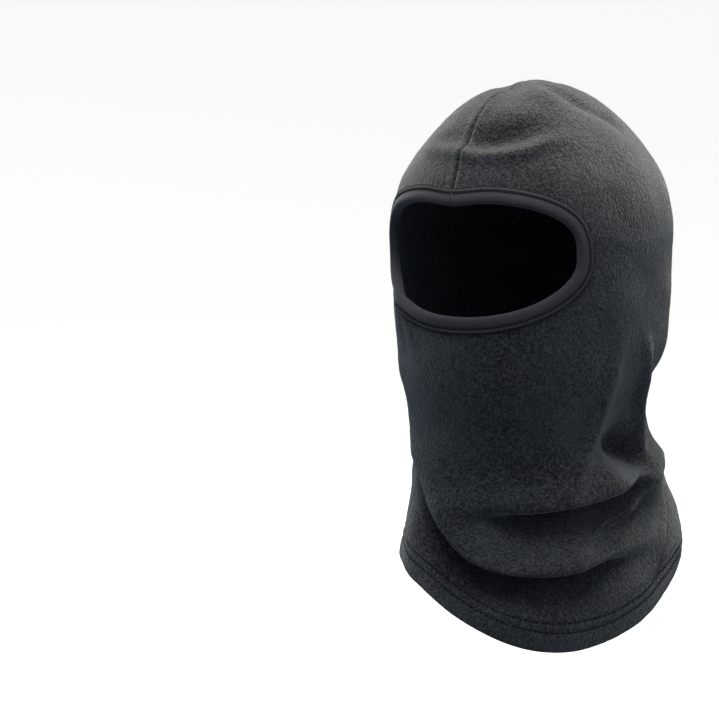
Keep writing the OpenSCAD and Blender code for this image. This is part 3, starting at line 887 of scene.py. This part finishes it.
pitch, radius = HEM_LOOPER
hem_rows = (HEM_ROW_LOW, HEM_ROW_HIGH)
path, up = zigzag([row_line(skin_in, from_hem, at) for at in hem_rows],
                  [row_line(inside, from_hem, at) for at in hem_rows], pitch, radius, True)
thread_run("hem_looper", "hem_looper_thread", path, up, radius)
pitch, radius = BINDING_LOOPER
path, up = zigzag([edge.at(*GROOVE_PLACE_INSIDE), edge.at(*EDGE_PLACE_INSIDE)], [-edge_normal] * 2,
                  pitch, radius, True)
kept = slice(LOOPER_TRIM, -LOOPER_TRIM)
thread_run("binding_looper", "binding_looper_thread", path[kept], up[kept], radius)

stitches("seam_stitches", "seam_needle_thread", seam_line(outer, 0.0), seam_line(hem_normals, 0.0),
         closed=False, **SEAM_STITCH)
pitch, radius = SEAM_OVERLOCK
offsets = (OVERLOCK_NEAR, OVERLOCK_FAR)
path, up = zigzag([seam_line(skin_in, at) for at in offsets], [seam_line(inside, at) for at in offsets],
                  pitch, radius, False)
thread_run("seam_overlock", "seam_overlock_thread", path, up, radius)


# ---- floor, lights and camera ----
# The floor's outline (mm): distance out and height over its middle, which is this far below the crown
FLOOR_OUTLINE = [(0.01, 0), (2200, 0), (2500, 60), (2720, 220), (2860, 500), (2900, 900), (2900, 3200)]
FLOOR_DEPTH, FLOOR_SIDES = 460, 64
AIM = (0, 0, -0.18)                      # the lights point at the hood's middle (m)
# Name, place (m), size (m), power (W), colour
LIGHTS = [
    ("top", (-0.1, 0.35, 1.5), 1.3, 45, (1.0, 0.90, 0.70)),
    ("top_front", (0.3, -0.9, 1.5), 1.2, 14, (0.94, 0.97, 1.0)),
    ("top_back", (-0.3, 1.1, 1.2), 1.0, 13, (0.9, 1.0, 0.85)),
    ("left_back", (-1.5, 0.9, 0.1), 0.9, 4, (0.95, 1.0, 0.92)),
    ("right", (1.6, 0.2, 0.4), 0.9, 2.5, (0.9, 0.92, 1.0)),
    ("right_back", (1.2, 1.4, 0.2), 0.9, 4.5, (1.0, 0.95, 0.6)),
]
ROOM_COLOUR, ROOM_STRENGTH = (0.68, 0.83, 1.0, 1), 0.2
SENSOR = 36.0


def stage_material():
    """A matt pale surface that gives off a little light of its own, as a lit backdrop looks."""
    return Nodes("pale_stage").finish(Base_Color=(0.35, 0.35, 0.35, 1), Roughness=1.0,
                                      Emission_Color=(1, 1, 1, 1), Emission_Strength=0.8)


def floor():
    """A round pale floor that sweeps up into a wall all round."""
    turns = [2 * math.pi * i / FLOOR_SIDES for i in range(FLOOR_SIDES)]
    pts = [(r * math.cos(turn), r * math.sin(turn), h - FLOOR_DEPTH)
           for r, h in FLOOR_OUTLINE for turn in turns]
    faces = ring_faces(len(FLOOR_OUTLINE), FLOOR_SIDES, False).tolist()
    obj = mesh_object("floor", pts, faces, stage_material())
    obj.visible_diffuse = False
    obj.visible_glossy = False


def area_light(name, place, size, power, colour):
    """A round soft light that faces the hood."""
    lamp = bpy.data.lights.new(name, "AREA")
    lamp.shape = "DISK"
    lamp.size = size
    lamp.energy = power
    lamp.color = colour
    obj = linked(name, lamp)
    obj.location = place
    obj.rotation_euler = (Vector(AIM) - Vector(place)).to_track_quat("-Z", "Y").to_euler()


def camera(turn_deg, up_deg, distance, aim_z, lens, shift_x):
    """The camera, turned to the wearer's left of straight ahead and raised a little."""
    data = bpy.data.cameras.new("camera")
    data.lens, data.sensor_width, data.shift_x = lens, SENSOR, shift_x
    obj = linked("camera", data)
    a, e = math.radians(turn_deg), math.radians(up_deg)
    place = Vector((math.sin(a) * math.cos(e), -math.cos(a) * math.cos(e), math.sin(e))) * distance
    obj.location = place + Vector((0, 0, aim_z))
    obj.rotation_euler = (-place).to_track_quat("-Z", "Y").to_euler()
    bpy.context.scene.camera = obj


floor()
for light in LIGHTS:
    area_light(*light)
camera(turn_deg=30.0, up_deg=7.0, distance=1.5, aim_z=-0.1790, lens=115.0, shift_x=-0.2427)
world = bpy.data.worlds.new("studio")
world.use_nodes = True
background = world.node_tree.nodes["Background"]
background.inputs["Color"].default_value = ROOM_COLOUR
background.inputs["Strength"].default_value = ROOM_STRENGTH
bpy.context.scene.world = world
bpy.context.scene.view_settings.view_transform = "Standard"
